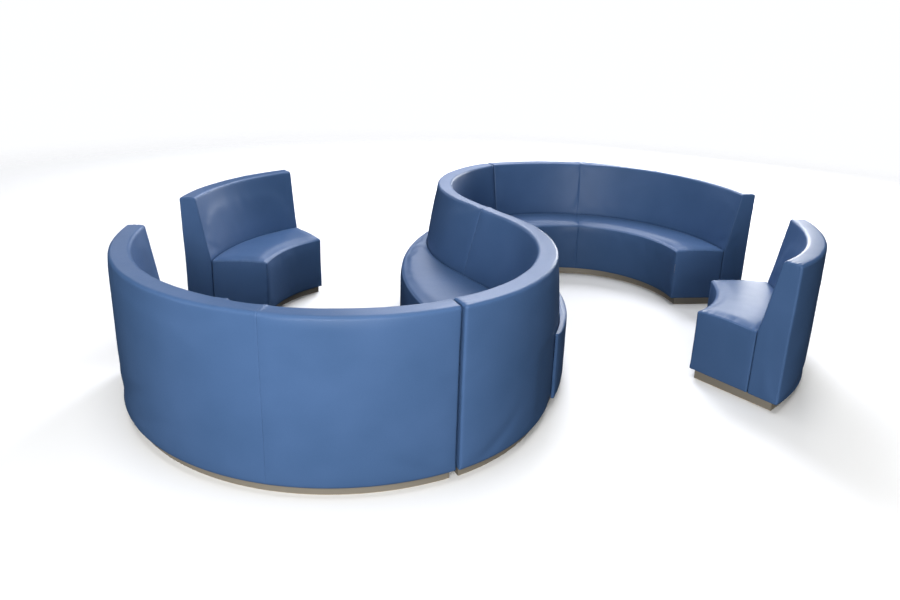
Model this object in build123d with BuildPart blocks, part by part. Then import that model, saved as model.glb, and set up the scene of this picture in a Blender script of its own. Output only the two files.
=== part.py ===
from build123d import *
import os
from math import cos, degrees, radians, sin

os.makedirs("parts", exist_ok=True)

# Overall sizes, in millimetres
outer_radius = 1325.0
back_top_width = 110.0
back_seat_width = 185.0
seat_depth = 392.0
seat_height = 460.0
overall_height = 905.0

# Plinth
plinth_height = 58.0
plinth_recess = 40.0
plinth_end_recess = 18.0
plinth_board = 18.0
base_panel_thickness = 12.0
kick_thickness = 1.5
kick_lift = 2.0

# Upholstery
cover_skin = 6.0
hidden_skin = 3.0
seat_foam = 60.0
back_foam = 40.0
wall_foam = 25.0
seat_crown = 8.0
back_roll_radius = 18.0
seat_roll_radius = 20.0
end_roll_radius = 9.0
seam_depth = 2.0
seam_width = 4.0

# Timber frames
frame_board = 9.0
frame_rib = 18.0
frame_top_rail = 30.0

# Bolts that hold a seat box to its back
bolt_diameter = 8.0
bolt_head_diameter = 20.0
bolt_head_thickness = 4.0
bolt_height = 260.0

# Clearances
seat_gap = 3.0
unit_gap = 12.0
fit = 0.3
loft_fit = 0.8
crest_fit = 1.0

# The plan is given for this outer radius, and grows or shrinks with the real one
drawn_radius = 1325.0
plan_scale = outer_radius / drawn_radius


def scaled(points):
    """Plan points at the real size."""
    return [(x * plan_scale, y * plan_scale) for x, y in points]


# Plan of the ring units: half the distance between the two ring centres, and where the
# two small units stand
ring_offset = 975.0 * plan_scale
back_small_centre, front_small_centre = scaled([(-552.0, 514.0), (701.0, -464.0)])

# Ends of each ring unit, in degrees round its centre
front_long_ends = (147.0, 264.3)
back_long_ends = (-28.5, 87.0)
back_small_ends = (94.8, 146.2)
front_small_ends = (-86.0, -36.0)
seam_from_joint = 39.0
long_bays = 4
small_bays = 2

# Plan of the double-sided centre unit, in its own frame: a straight middle, then an arm
# that curves each way
centre_place = (39.0 * plan_scale, 0.0)
centre_turn = -1.3
wall_top_half = 43.0
wall_seat_half = 172.0
top_hollow_shift = 7.0
seat_hollow_shift = 16.0
convex_radius = 1094.0 * plan_scale
convex_rise = 257.0 * plan_scale
concave_top_radius = convex_radius - 2 * wall_top_half + top_hollow_shift
concave_top_rise = 215.0 * plan_scale
concave_seat_radius = convex_radius - wall_top_half - wall_seat_half + seat_hollow_shift
concave_seat_rise = 265.0 * plan_scale
seat_level_rise = 150.0 * plan_scale
arm_angle = 100.0
tip_angle = 45.3
left_tip_swell = 45.0
right_tip_swell = 8.0
crest_swell = 1.0
wall_seam_place = 17.0
rib_angles = [0.0, 20.0, 40.0, 60.0, 80.0]
bolt_angles = [10.0, 30.0, 50.0, 70.0]
rib_reach = 700.0 * plan_scale

# Front edges of the centre unit's two seats, from the thin tip to the shoulder before the
# joint, both drawn with the seat on the +X side
left_seat_front = scaled(
    [(-227.0, -1089.0), (47.0, -874.0), (380.0, -492.0), (673.0, 190.0), (740.0, 507.0)]
)
right_seat_front = scaled(
    [(-259.0, -1057.0), (39.0, -790.0), (226.0, -507.0), (590.0, 170.0), (690.0, 480.0)]
)

# Sizes worked out from those above
back_seat_radius = outer_radius - back_seat_width
back_top_radius = outer_radius - back_top_width
seat_rear_radius = back_seat_radius - seat_gap
seat_front_radius = back_seat_radius - seat_depth
plinth_mid_radius = (seat_front_radius + outer_radius) / 2
seat_edge_height = seat_height - seat_crown
frame_floor = plinth_height
deck_top = seat_height - seat_foam
back_reach = back_small_centre[1] + outer_radius * sin(radians(back_small_ends[0]))
front_reach = front_small_centre[1] + outer_radius * sin(radians(front_small_ends[0]))
plan_shift = -(back_reach + front_reach) / 2


def turn_of(length):
    """Angle that a length takes up half way across a ring unit."""
    return degrees(length / plinth_mid_radius)


class RingUnit:
    """One unit that follows a ring: its centre, its two ends and its plan angles."""

    def __init__(self, name, centre, ends, bays, seam=None):
        self.name = name
        self.centre = (centre[0], centre[1] + plan_shift)
        self.start, self.end = ends
        self.bays = bays
        self.seam = seam
        self.axis = Axis((self.centre[0], self.centre[1], 0), (0, 0, 1))


front_long = RingUnit(
    "front_long", (-ring_offset, 0.0), front_long_ends, long_bays, front_long_ends[1] - seam_from_joint
)
back_long = RingUnit(
    "back_long", (ring_offset, 0.0), back_long_ends, long_bays, back_long_ends[1] - seam_from_joint
)
back_small = RingUnit("back_small", back_small_centre, back_small_ends, small_bays)
front_small = RingUnit("front_small", front_small_centre, front_small_ends, small_bays)
ring_units = [front_long, back_long, back_small, front_small]


def upright_plane(centre, angle):
    """Upright plane through a centre: X runs outwards, Y runs up."""
    a = radians(angle)
    return Plane(origin=(centre[0], centre[1], 0), x_dir=(cos(a), sin(a), 0), z_dir=(sin(a), -cos(a), 0))


def section(unit, angle, outline):
    """Closed outline of (radius, height) points on a unit's upright plane."""
    with BuildSketch(upright_plane(unit.centre, angle)) as drawn:
        with BuildLine():
            Polyline(*outline, close=True)
        make_face()
    return drawn.sketch


def ring_box(inner, outer, low, high):
    """Outline of a plain rectangular section."""
    return [(inner, low), (outer, low), (outer, high), (inner, high)]


def seat_section(unit, angle):
    """Outer outline of a seat: upright front, crowned top and rolled edges."""
    middle = (seat_front_radius + seat_rear_radius) / 2
    with BuildSketch(upright_plane(unit.centre, angle)) as drawn:
        with BuildLine():
            Line((seat_front_radius, frame_floor), (seat_front_radius, seat_edge_height))
            ThreePointArc(
                (seat_front_radius, seat_edge_height),
                (middle, seat_height + seat_crown / 2),
                (seat_rear_radius, seat_edge_height),
            )
            Line((seat_rear_radius, seat_edge_height), (seat_rear_radius, frame_floor))
            Line((seat_rear_radius, frame_floor), (seat_front_radius, frame_floor))
        make_face()
        top = drawn.vertices().group_by(Axis.Y)[-1]
        fillet(top.sort_by(Axis.X)[0], seat_roll_radius)
        fillet(drawn.vertices().filter_by_position(Axis.X, seat_rear_radius, seat_rear_radius)
               .sort_by(Axis.Y)[-1], end_roll_radius)
    return drawn.sketch


def back_section(unit, angle):
    """Outer outline of a back: upright outside, sloping inside and a rolled top."""
    with BuildSketch(upright_plane(unit.centre, angle)) as drawn:
        with BuildLine():
            Polyline(
                (outer_radius, frame_floor),
                (outer_radius, overall_height),
                (back_top_radius, overall_height),
                (back_seat_radius, seat_height),
                (back_seat_radius, frame_floor),
                close=True,
            )
        make_face()
        fillet(drawn.vertices().group_by(Axis.Y)[-1], back_roll_radius)
    return drawn.sketch


def back_frame_outline(margin):
    """Outline of the timber back frame, grown by a margin all round but at its foot."""
    return [
        (outer_radius - cover_skin - fit + margin, frame_floor),
        (outer_radius - cover_skin - fit + margin, overall_height - back_foam + margin),
        (back_top_radius + back_foam - margin, overall_height - back_foam + margin),
        (back_seat_radius + hidden_skin + fit - margin, deck_top),
        (back_seat_radius + hidden_skin + fit - margin, frame_floor),
    ]


def end_edges(cover):
    """Edges round a cover's two end faces, all but those at its foot."""
    ends = cover.faces().filter_by(GeomType.PLANE).filter_by(lambda face: abs(face.normal_at().Z) < fit)
    return ends.edges().filter_by(lambda edge: edge.center().Z > frame_floor + fit)


def save(node, name):
    """Label a finished piece and write it out."""
    node.part.label = name
    export_step(node.part, f"parts/{name}.step")


def seam_groove(unit, outline_of):
    """Thin solid that cuts a shallow groove round a section, where two panels of cover meet."""
    groove_turn = turn_of(seam_width)
    whole = outline_of(unit, unit.seam - groove_turn / 2)
    with BuildPart() as groove:
        revolve(offset(whole, amount=seam_depth), axis=unit.axis, revolution_arc=groove_turn)
        revolve(
            offset(whole, amount=-seam_depth),
            axis=unit.axis,
            revolution_arc=groove_turn,
            mode=Mode.SUBTRACT,
        )
    return groove.part


def bolt_plane(centre, radius, angle):
    """Plane across a bolt where it leaves the seat box, facing away from a centre."""
    a = radians(angle)
    return Plane(
        origin=(centre[0] + radius * cos(a), centre[1] + radius * sin(a), bolt_height),
        x_dir=(0, 0, 1),
        z_dir=(cos(a), sin(a), 0),
    )


# Depths of a bolt's bearing faces from the rear of the seat box, clear of curved boards
bolt_seat_depth = hidden_skin + fit + frame_board + fit
ring_bolt_depth = seat_gap + hidden_skin + fit + frame_board + fit
wall_bolt_depth = seat_gap + cover_skin + loft_fit + frame_board + fit


def bolt_hole(plane, back_depth):
    """Solid that clears a bolt through both boards and both covers."""
    with BuildPart() as cutter:
        with BuildSketch(plane.offset(-bolt_seat_depth)):
            Circle(bolt_diameter / 2 + fit)
        extrude(amount=bolt_seat_depth + back_depth)
    return cutter.part


def bolt(plane, back_depth):
    """Bolt with a flat head in the seat box and a flat nut in the back."""
    with BuildPart() as made:
        with BuildSketch(plane.offset(-bolt_seat_depth - bolt_head_thickness)):
            Circle(bolt_head_diameter / 2)
        extrude(amount=bolt_head_thickness)
        with BuildSketch(plane.offset(-bolt_seat_depth)):
            Circle(bolt_diameter / 2)
        extrude(amount=bolt_seat_depth + back_depth)
        with BuildSketch(plane.offset(back_depth)):
            RegularPolygon(bolt_head_diameter / 2, 6)
        extrude(amount=bolt_head_thickness)
    return made.part


# Ring units: two long ones and two small ones, all made the same way
for unit in ring_units:
    sweep_angle = unit.end - unit.start
    skin_turn = turn_of(cover_skin)
    fit_turn = turn_of(fit)
    rib_turn = turn_of(frame_rib)
    plinth_turn = turn_of(plinth_end_recess)
    kick_turn = turn_of(kick_thickness)
    frame_turn = skin_turn + fit_turn
    bay_sweep = (sweep_angle - 2 * frame_turn - rib_turn) / unit.bays
    bay_starts = [unit.start + frame_turn + rib_turn + bay_sweep * i for i in range(unit.bays)]
    pocket_sweep = bay_sweep - rib_turn
    bolt_planes = [
        bolt_plane(unit.centre, seat_rear_radius, angle + pocket_sweep / 2) for angle in bay_starts
    ]
    holes = [bolt_hole(plane, ring_bolt_depth) for plane in bolt_planes]

    # Plinth ring with cross battens, open above and below
    plinth_in = seat_front_radius + plinth_recess
    plinth_out = outer_radius - plinth_recess
    plinth_top = plinth_height - base_panel_thickness
    plinth_sweep = sweep_angle - 2 * plinth_turn
    batten_turn = turn_of(plinth_board)
    plinth_bay = (plinth_sweep - batten_turn) / unit.bays
    with BuildPart() as plinth_frame:
        outline = ring_box(plinth_in, plinth_out, 0, plinth_top)
        first = unit.start + plinth_turn
        revolve(section(unit, first, outline), axis=unit.axis, revolution_arc=plinth_sweep)
        inside = ring_box(plinth_in + plinth_board, plinth_out - plinth_board, 0, plinth_top)
        for i in range(unit.bays):
            angle = first + batten_turn + plinth_bay * i
            revolve(
                section(unit, angle, inside),
                axis=unit.axis,
                revolution_arc=plinth_bay - batten_turn,
                mode=Mode.SUBTRACT,
            )
    save(plinth_frame, f"{unit.name}_plinth_frame")

    # Panel on the plinth that carries the seat box and the back
    with BuildPart() as base_panel:
        outline = ring_box(plinth_in, plinth_out, plinth_top, plinth_height)
        revolve(section(unit, first, outline), axis=unit.axis, revolution_arc=plinth_sweep)
    save(base_panel, f"{unit.name}_base_panel")

    # Brushed metal band round the plinth
    with BuildPart() as kick_band:
        gap_turn = fit_turn + kick_turn
        grown = fit + kick_thickness
        outline = ring_box(plinth_in - grown, plinth_out + grown, kick_lift, plinth_height - fit)
        revolve(
            section(unit, first - gap_turn, outline),
            axis=unit.axis,
            revolution_arc=plinth_sweep + 2 * gap_turn,
        )
        outline = ring_box(plinth_in - fit, plinth_out + fit, kick_lift, plinth_height - fit)
        revolve(
            section(unit, first - fit_turn, outline),
            axis=unit.axis,
            revolution_arc=plinth_sweep + 2 * fit_turn,
            mode=Mode.SUBTRACT,
        )
    save(kick_band, f"{unit.name}_kick_band")

    # Timber seat box: boards, ribs and a deck, open below
    seat_in = seat_front_radius + cover_skin + fit
    seat_out = seat_rear_radius - hidden_skin - fit
    with BuildPart() as seat_frame:
        first = unit.start + frame_turn
        outline = ring_box(seat_in, seat_out, frame_floor, deck_top)
        revolve(section(unit, first, outline), axis=unit.axis, revolution_arc=sweep_angle - 2 * frame_turn)
        inside = ring_box(seat_in + frame_board, seat_out - frame_board, frame_floor, deck_top - frame_board)
        for angle in bay_starts:
            revolve(
                section(unit, angle, inside),
                axis=unit.axis,
                revolution_arc=pocket_sweep,
                mode=Mode.SUBTRACT,
            )
        add(holes, mode=Mode.SUBTRACT)
    save(seat_frame, f"{unit.name}_seat_frame")

    # Timber back frame: outer and inner skins, ribs and a top rail, open below
    with BuildPart() as back_frame:
        revolve(
            section(unit, first, back_frame_outline(0)),
            axis=unit.axis,
            revolution_arc=sweep_angle - 2 * frame_turn,
        )
        rail_height = overall_height - back_foam - frame_top_rail
        slope = (back_top_radius + back_foam - back_seat_radius) / (overall_height - back_foam - deck_top)
        inside = [
            (outer_radius - cover_skin - fit - frame_board, frame_floor),
            (outer_radius - cover_skin - fit - frame_board, rail_height),
            (back_top_radius + back_foam + frame_board - slope * frame_top_rail, rail_height),
            (back_seat_radius + hidden_skin + fit + frame_board, deck_top),
            (back_seat_radius + hidden_skin + fit + frame_board, frame_floor),
        ]
        for angle in bay_starts:
            revolve(
                section(unit, angle, inside),
                axis=unit.axis,
                revolution_arc=pocket_sweep,
                mode=Mode.SUBTRACT,
            )
        add(holes, mode=Mode.SUBTRACT)
    save(back_frame, f"{unit.name}_back_frame")

    # Upholstered seat: crowned foam over the deck and a skin round the box
    with BuildPart() as seat_cover:
        revolve(seat_section(unit, unit.start), axis=unit.axis, revolution_arc=sweep_angle)
        fillet(end_edges(seat_cover), end_roll_radius)
        hollow = ring_box(seat_in - fit, seat_out + fit, frame_floor, deck_top + fit)
        revolve(
            section(unit, unit.start + skin_turn, hollow),
            axis=unit.axis,
            revolution_arc=sweep_angle - 2 * skin_turn,
            mode=Mode.SUBTRACT,
        )
        add(holes, mode=Mode.SUBTRACT)
        if unit.seam:
            add(seam_groove(unit, seat_section), mode=Mode.SUBTRACT)
    save(seat_cover, f"{unit.name}_seat_cover")

    # Upholstered back: foam on the sloping face and a skin over the rest
    with BuildPart() as back_cover:
        revolve(back_section(unit, unit.start), axis=unit.axis, revolution_arc=sweep_angle)
        fillet(end_edges(back_cover), end_roll_radius)
        revolve(
            section(unit, unit.start + skin_turn, back_frame_outline(fit)),
            axis=unit.axis,
            revolution_arc=sweep_angle - 2 * skin_turn,
            mode=Mode.SUBTRACT,
        )
        add(holes, mode=Mode.SUBTRACT)
        if unit.seam:
            add(seam_groove(unit, back_section), mode=Mode.SUBTRACT)
    save(back_cover, f"{unit.name}_back_cover")

    # Bolts between the seat box and the back
    with BuildPart() as bolts:
        for plane in bolt_planes:
            add(bolt(plane, ring_bolt_depth))
    save(bolts, f"{unit.name}_bolts")


# Frame of the centre unit, turned a little out of line with the rings
turn = radians(centre_turn)
centre_origin = (centre_place[0], centre_place[1] + plan_shift)
convex_centre = (wall_top_half - convex_radius, -convex_rise)
hollow_centre = (wall_seat_half + concave_seat_radius, concave_seat_rise)

centre_seats = [
    ("left", left_seat_front, front_long, -1),
    ("right", right_seat_front, back_long, 1),
]


def centre_plane(height):
    """Level plane of the centre unit."""
    return Plane(
        origin=(centre_origin[0], centre_origin[1], height),
        x_dir=(cos(turn), sin(turn), 0),
        z_dir=(0, 0, 1),
    )


def joint_plane(unit, margin):
    """Plane beside a ring unit's joint end, facing the centre unit, set back by a margin."""
    a = radians(unit.end)
    normal = Vector(-sin(a), cos(a), 0)
    origin = Vector(unit.centre[0], unit.centre[1], 0) + normal * (unit_gap + margin)
    return Plane(origin=origin, z_dir=normal)


def polar(centre, radius, angle):
    """Point at a radius and an angle from a centre."""
    return (centre[0] + radius * cos(radians(angle)), centre[1] + radius * sin(radians(angle)))


def half_turn(lines):
    """The same lines for the other side of the centre unit."""
    return lines.rotate(Axis.Z, 180)


def wall_side(half, full_rise, hollow_radius, hollow_rise, swell, inset):
    """One side of the wall's plan: hollow at the back, straight, then full at the front."""
    hollow = (half + hollow_radius, hollow_rise)
    radius = convex_radius - inset
    side = half - inset
    start = polar(hollow, hollow_radius + inset, 180 - arm_angle)
    end = polar(convex_centre, radius, -arm_angle)
    tip = polar(convex_centre, radius + swell, -tip_angle)
    after = polar(convex_centre, radius + swell / 4, -(arm_angle + tip_angle) / 2)
    with BuildLine() as drawn:
        CenterArc(hollow, hollow_radius + inset, 180 - arm_angle, arm_angle)
        Line((side, hollow_rise), (side, -full_rise))
        TangentArc((side, -full_rise), tip, tangent=(0, -1))
        ThreePointArc(tip, after, end)
        Line(end, (-start[0], -start[1]))
    return drawn.line


def wall_lines(half, full_rise, hollow_radius, hollow_rise, swells, inset):
    """Outline of the wall at one height: a side, and the other side turned half round."""
    with BuildLine() as drawn:
        add(half_turn(wall_side(half, full_rise, hollow_radius, hollow_rise, swells[0], inset)))
        add(wall_side(half, full_rise, hollow_radius, hollow_rise, swells[1], inset))
    return drawn.line


def seat_level_lines(inset):
    """Outline of the wall at and below the seats."""
    swells = (left_tip_swell, right_tip_swell)
    return wall_lines(
        wall_seat_half, seat_level_rise, concave_seat_radius, concave_seat_rise, swells, inset
    )


def crest_lines(inset):
    """Outline of the wall at its top, in the same number of arcs as at the seats."""
    swells = (crest_swell, crest_swell)
    return wall_lines(
        wall_top_half, convex_rise, concave_top_radius, concave_top_rise, swells, inset
    )


def level_face(height, lines):
    """Face inside closed lines, on a level plane of the centre unit."""
    with BuildSketch(centre_plane(height)) as drawn:
        with BuildLine():
            add(lines)
        make_face()
    return drawn.sketch


def wall_block(low_inset, top_inset, top_height, margin):
    """Wall of the centre unit: upright below the seats, then drawn in to its top."""
    with BuildPart() as block:
        extrude(level_face(frame_floor, seat_level_lines(low_inset)), amount=seat_height - frame_floor)
        shoulder = level_face(seat_height, seat_level_lines(low_inset))
        loft([shoulder, level_face(top_height, crest_lines(top_inset))], ruled=True)
        for unit in (front_long, back_long):
            split(bisect_by=joint_plane(unit, margin), keep=Keep.TOP)
    return block.part


def wall_seam_groove():
    """Thin solid that cuts the shallow seam across the straight middle of the wall."""
    low = wall_seat_half - seam_depth
    top = wall_top_half - seam_depth
    crest = overall_height - seam_depth
    section = Plane(
        origin=centre_plane(0).from_local_coords((0, wall_seam_place, 0)),
        x_dir=(cos(turn), sin(turn), 0),
        z_dir=(sin(turn), -cos(turn), 0),
    )
    with BuildSketch() as inner:
        with BuildLine():
            Polyline(
                (-low, frame_floor),
                (low, frame_floor),
                (low, seat_height),
                (top, crest),
                (-top, crest),
                (-low, seat_height),
                close=True,
            )
        make_face()
        fillet(inner.vertices().group_by(Axis.Y)[-1], back_roll_radius - seam_depth)
    with BuildPart() as groove:
        with BuildSketch(section):
            with Locations((0, frame_floor)):
                Rectangle(4 * wall_seat_half, overall_height, align=(Align.CENTER, Align.MIN))
            add(inner.sketch, mode=Mode.SUBTRACT)
        extrude(amount=seam_width / 2, both=True)
    return groove.part


def seat_outline(front, unit, side, depth):
    """Plan of a seat, from its tip to the joint and back at a depth inside the wall.

    Side is +1 for the seat on +X and -1 for the other.
    """
    corner = centre_plane(0).to_local_coords(
        Vector(*polar(unit.centre, seat_front_radius, unit.end))
    )
    joint = (side * corner.X, side * corner.Y)
    inner_radius = convex_radius - depth
    hollow = (wall_top_half + concave_top_radius, concave_top_rise)
    hollow_radius = concave_top_radius + depth
    inner_line = wall_top_half - depth
    with BuildLine() as drawn:
        crescent = ThreePointArc(front[0], front[1], front[2])
        waist = TangentArc(front[2], front[3], tangent=crescent % 1)
        flank = TangentArc(front[3], front[4], tangent=waist % 1)
        TangentArc(front[4], joint, tangent=flank % 1)
        Line(joint, polar(hollow, hollow_radius, 180 - arm_angle))
        CenterArc(hollow, hollow_radius, 180 - arm_angle, arm_angle)
        Line((inner_line, concave_top_rise), (inner_line, -convex_rise))
        CenterArc(convex_centre, inner_radius, -tip_angle, tip_angle)
        Line(polar(convex_centre, inner_radius, -tip_angle), front[0])
    return drawn.line if side > 0 else half_turn(drawn.line)


def front_rim(block, front, side):
    """Top edges of a seat along its front, found by the points where they meet."""
    rim = block.edges().group_by(Axis.Z)[-1]
    height = rim[0].center().Z
    meets = [centre_plane(height).from_local_coords((side * x, side * y, 0)) for x, y in front[2:]]
    return rim.filter_by(lambda edge: min(edge.distance_to(Vertex(*point)) for point in meets) < fit)


def seat_block(front, unit, side, inset, top, wall_gap, roll=0.0):
    """Seat of the centre unit, cut to follow the wall and to stop at the joint."""
    with BuildPart() as block:
        plan = level_face(frame_floor, seat_outline(front, unit, side, back_top_width / 2 + inset))
        extrude(offset(plan, amount=-inset) if inset else plan, amount=top - frame_floor)
        if roll:
            fillet(front_rim(block, front, side), roll)
        wall = level_face(frame_floor, seat_level_lines(-wall_gap))
        extrude(wall, amount=top - frame_floor, mode=Mode.SUBTRACT)
        split(bisect_by=joint_plane(unit, inset), keep=Keep.TOP)
    return block.part


def foot_block(inset, margin, low, high):
    """Slice of the centre unit's whole plan, wall and seats together, drawn in by an inset."""
    with BuildPart() as block:
        extrude(level_face(low, seat_level_lines(inset)), amount=high - low)
        for _, front, unit, side in centre_seats:
            plan = level_face(low, seat_outline(front, unit, side, back_top_width / 2 + inset))
            extrude(offset(plan, amount=-inset), amount=high - low)
        for unit in (front_long, back_long):
            split(bisect_by=joint_plane(unit, margin), keep=Keep.TOP)
    return block.part


def hollow_place(side):
    """Centre of the ring that one side of the wall wraps round."""
    place = centre_plane(0).from_local_coords((side * hollow_centre[0], side * hollow_centre[1], 0))
    return (place.X, place.Y)


def across(side, angle):
    """Direction across the wall, at an angle round the arm from its straight middle."""
    return (180 if side > 0 else 0) - angle + centre_turn


# Upright slabs across the centre unit, where its ribs stand
with BuildPart() as rib_slabs:
    for side in (1, -1):
        for angle in rib_angles:
            with BuildSketch(upright_plane(hollow_place(side), across(side, angle))):
                with Locations((concave_seat_radius, overall_height / 2)):
                    Rectangle(2 * rib_reach, overall_height)
            extrude(amount=frame_rib / 2, both=True)

wall_bolt_planes = {
    side: [
        bolt_plane(hollow_place(side), concave_seat_radius - seat_gap, across(side, angle))
        for angle in bolt_angles
    ]
    for side in (1, -1)
}
wall_holes = {
    side: [bolt_hole(plane, wall_bolt_depth) for plane in planes]
    for side, planes in wall_bolt_planes.items()
}
frame_inset = cover_skin + fit
wall_inset = cover_skin + loft_fit
crest_inset = cover_skin + wall_foam + crest_fit


def between_ribs(block):
    """What is left of a block between the ribs."""
    with BuildPart() as bays:
        add(block)
        add(rib_slabs.part, mode=Mode.SUBTRACT)
    return bays.part


# Centre unit: plinth ring with cross battens, open above and below
with BuildPart() as centre_plinth_frame:
    panel_underside = plinth_height - base_panel_thickness
    add(foot_block(plinth_recess, plinth_end_recess, 0, panel_underside))
    bays = foot_block(plinth_recess + plinth_board, plinth_end_recess + plinth_board, 0, panel_underside)
    add(between_ribs(bays), mode=Mode.SUBTRACT)
save(centre_plinth_frame, "centre_plinth_frame")

# Panel on the centre plinth that carries the wall and both seat boxes
with BuildPart() as centre_base_panel:
    add(foot_block(plinth_recess, plinth_end_recess, panel_underside, plinth_height))
save(centre_base_panel, "centre_base_panel")

# Brushed metal band round the centre plinth
with BuildPart() as centre_kick_band:
    grown = fit + kick_thickness
    band_top = plinth_height - fit
    add(foot_block(plinth_recess - grown, plinth_end_recess - grown, kick_lift, band_top))
    add(foot_block(plinth_recess - fit, plinth_end_recess - fit, kick_lift, band_top), mode=Mode.SUBTRACT)
save(centre_kick_band, "centre_kick_band")

# Seat boxes and seat covers on both sides of the wall
for side_name, front, unit, side in centre_seats:
    with BuildPart() as seat_frame:
        wall_gap = seat_gap + hidden_skin + fit
        add(seat_block(front, unit, side, frame_inset, deck_top, wall_gap))
        bays = seat_block(
            front, unit, side, frame_inset + frame_board, deck_top - frame_board, wall_gap + frame_board
        )
        add(between_ribs(bays), mode=Mode.SUBTRACT)
        add(wall_holes[side], mode=Mode.SUBTRACT)
    save(seat_frame, f"centre_{side_name}_seat_frame")

    with BuildPart() as seat_cover:
        add(seat_block(front, unit, side, 0, seat_height, seat_gap, seat_roll_radius))
        hollow = seat_block(front, unit, side, cover_skin, deck_top + fit, seat_gap + hidden_skin)
        add(hollow, mode=Mode.SUBTRACT)
        add(wall_holes[side], mode=Mode.SUBTRACT)
    save(seat_cover, f"centre_{side_name}_seat_cover")

    with BuildPart() as bolts:
        for plane in wall_bolt_planes[side]:
            add(bolt(plane, wall_bolt_depth))
    save(bolts, f"centre_{side_name}_bolts")

# Timber frame of the wall: skins, ribs and a top rail, open below
with BuildPart() as centre_back_frame:
    frame_top = overall_height - back_foam
    add(wall_block(wall_inset, crest_inset, frame_top, wall_inset))
    bays = wall_block(
        wall_inset + frame_board,
        crest_inset + frame_board / 2,
        frame_top - frame_top_rail,
        wall_inset + frame_board,
    )
    add(between_ribs(bays), mode=Mode.SUBTRACT)
    for side in (1, -1):
        add(wall_holes[side], mode=Mode.SUBTRACT)
save(centre_back_frame, "centre_back_frame")

# Upholstered wall, with the foam thickest at its drawn-in top
with BuildPart() as centre_back_cover:
    add(wall_block(0, 0, overall_height, 0))
    fillet(centre_back_cover.edges().group_by(Axis.Z)[-1], back_roll_radius)
    add(wall_seam_groove(), mode=Mode.SUBTRACT)
    add(wall_block(cover_skin, cover_skin + wall_foam, frame_top + fit, cover_skin), mode=Mode.SUBTRACT)
    for side in (1, -1):
        add(wall_holes[side], mode=Mode.SUBTRACT)
save(centre_back_cover, "centre_back_cover")
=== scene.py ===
import math

import bmesh
import bpy
from mathutils import Matrix, Vector, noise


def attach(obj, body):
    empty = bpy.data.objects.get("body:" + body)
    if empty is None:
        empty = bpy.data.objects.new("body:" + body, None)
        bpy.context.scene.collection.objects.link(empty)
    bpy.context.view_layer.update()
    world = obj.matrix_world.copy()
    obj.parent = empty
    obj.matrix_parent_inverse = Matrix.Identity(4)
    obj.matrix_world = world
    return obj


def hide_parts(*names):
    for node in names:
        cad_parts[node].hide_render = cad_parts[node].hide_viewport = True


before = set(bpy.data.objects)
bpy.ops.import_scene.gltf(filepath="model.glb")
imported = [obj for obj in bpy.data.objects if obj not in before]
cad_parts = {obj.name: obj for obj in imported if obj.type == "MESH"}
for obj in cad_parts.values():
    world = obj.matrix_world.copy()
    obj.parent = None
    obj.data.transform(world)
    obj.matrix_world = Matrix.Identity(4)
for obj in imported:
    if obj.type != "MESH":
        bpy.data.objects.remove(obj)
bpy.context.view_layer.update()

# Section of a unit in millimetres, the same as the solids'
MM = 0.001
OUTER_RADIUS = 1325.0
BACK_TOP_WIDTH = 110.0
BACK_SEAT_WIDTH = 185.0
SEAT_DEPTH = 392.0
SEAT_HEIGHT = 460.0
OVERALL_HEIGHT = 905.0
FOOT = 58.4              # underside of the covers, above the plinth
CROWN = 8.0              # from a ring seat's edges up to its middle
SEAT_GAP = 3.0           # between a seat and the back behind it
UNIT_GAP = 12.0          # between a long unit and the centre unit
BACK_ROLL = 18.0
SEAT_ROLL = 20.0
END_ROLL = 9.0
BACK_INNER = OUTER_RADIUS - BACK_SEAT_WIDTH
BACK_TOP_INNER = OUTER_RADIUS - BACK_TOP_WIDTH
SEAT_REAR = BACK_INNER - SEAT_GAP
SEAT_FRONT = BACK_INNER - SEAT_DEPTH
MID_RADIUS = (SEAT_FRONT + OUTER_RADIUS) / 2
SEAT_EDGE = SEAT_HEIGHT - CROWN

# Plan of the four ring units: where their circles are, and their two ends in degrees from +X
RING_OFFSET = 975.0
BACK_SMALL = (-552.0, 514.0)
FRONT_SMALL = (701.0, -464.0)
ENDS = {
    "front_long": (147.0, 264.3),
    "back_long": (-28.5, 87.0),
    "back_small": (94.8, 146.2),
    "front_small": (-86.0, -36.0),
}
SEAM_FROM_JOINT = 39.0
back_reach = BACK_SMALL[1] + OUTER_RADIUS * math.sin(math.radians(ENDS["back_small"][0]))
front_reach = FRONT_SMALL[1] + OUTER_RADIUS * math.sin(math.radians(ENDS["front_small"][0]))
PLAN_SHIFT = -(back_reach + front_reach) / 2
CENTRES = {
    "front_long": (-RING_OFFSET, PLAN_SHIFT),
    "back_long": (RING_OFFSET, PLAN_SHIFT),
    "back_small": (BACK_SMALL[0], BACK_SMALL[1] + PLAN_SHIFT),
    "front_small": (FRONT_SMALL[0], FRONT_SMALL[1] + PLAN_SHIFT),
}

# Plan of the centre unit in its own axes: a straight middle along Y and a curved arm at each
# end. Side 1 has its seat on +X and joins back_long; side -1 is the same, turned half round.
# The wall has a wide line from the floor to the seat's height and a narrow one at the top.
LOW, TOP = 0, 1
HALF = (172.0, 43.0)
HOLLOW_RADIUS = (895.0, 1015.0)
HOLLOW_RISE = (265.0, 215.0)
CONVEX_RISE = (150.0, 257.0)
CONVEX_RADIUS = 1094.0
CONVEX_CENTRE = (HALF[TOP] - CONVEX_RADIUS, -CONVEX_RISE[TOP])
ARM_ANGLE, TIP_ANGLE = 100.0, 45.3
TIP_SWELL = {1: 8.0, -1: 45.0}
CREST_SWELL = 1.0
ARM_SHARE = 0.44         # of the wall's way along, in each arm
WALL_SEAM_PLACE = 17.0
CENTRE_ORIGIN = (39.0, PLAN_SHIFT)
CENTRE_TURN = math.radians(-1.3)
JOINT_UNIT = {1: "back_long", -1: "front_long"}
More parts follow.
